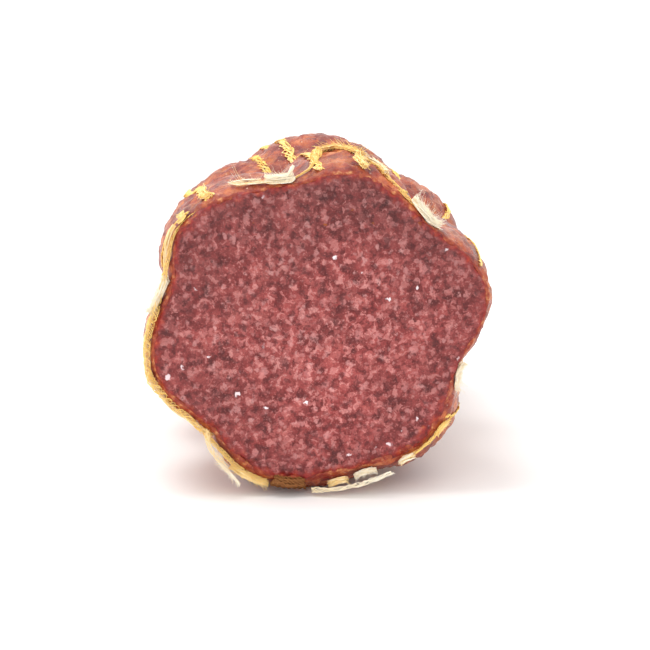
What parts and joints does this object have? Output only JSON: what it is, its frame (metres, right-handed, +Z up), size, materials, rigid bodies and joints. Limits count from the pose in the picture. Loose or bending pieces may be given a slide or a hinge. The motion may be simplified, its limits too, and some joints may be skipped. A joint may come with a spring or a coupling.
{
  "type": "netted cured sausage half",
  "caption": "Half of a netted dry-cured sausage lying on its side: flat cut face of ground meat, lobed casing pressed in by lengthwise cords and crosswise hoops, tied far end.",
  "frame": {"origin": "middle of the bounding box's bottom face, on the surface the sausage lies on", "axes": "+Y along the sausage from its cut face to its tied end, +Z up, +X to the right as the cut face is seen"},
  "size_m": [0.081, 0.1732, 0.0783],
  "materials": {
    "meat": "moist, finely mottled ground meat and fat",
    "skin": "satin, wrinkled dry casing",
    "yarn": "matt golden net yarn",
    "bare_yarn": "matt off-white yarn with frayed plies"
  },
  "bodies": {
    "root": {"filling": "meat", "casing": "skin", "groove_cord_right": "yarn", "groove_cord_upper_right": "yarn", "groove_cord_upper_left": "yarn", "groove_cord_left": "yarn", "groove_cord_lower_left": "yarn", "groove_cord_lower_right": "yarn", "lobe_strand_top": "yarn", "lobe_strand_upper_left": "yarn", "lobe_strand_left": "yarn", "lobe_strand_lower_right": "yarn", "lobe_strand_right": "yarn", "first_hoop": "yarn", "hoop_2": "yarn", "hoop_3": "yarn", "hoop_knot": "yarn", "loose_hoop_end": "bare_yarn", "tail_tie": "bare_yarn"}
  },
  "joints": []
}
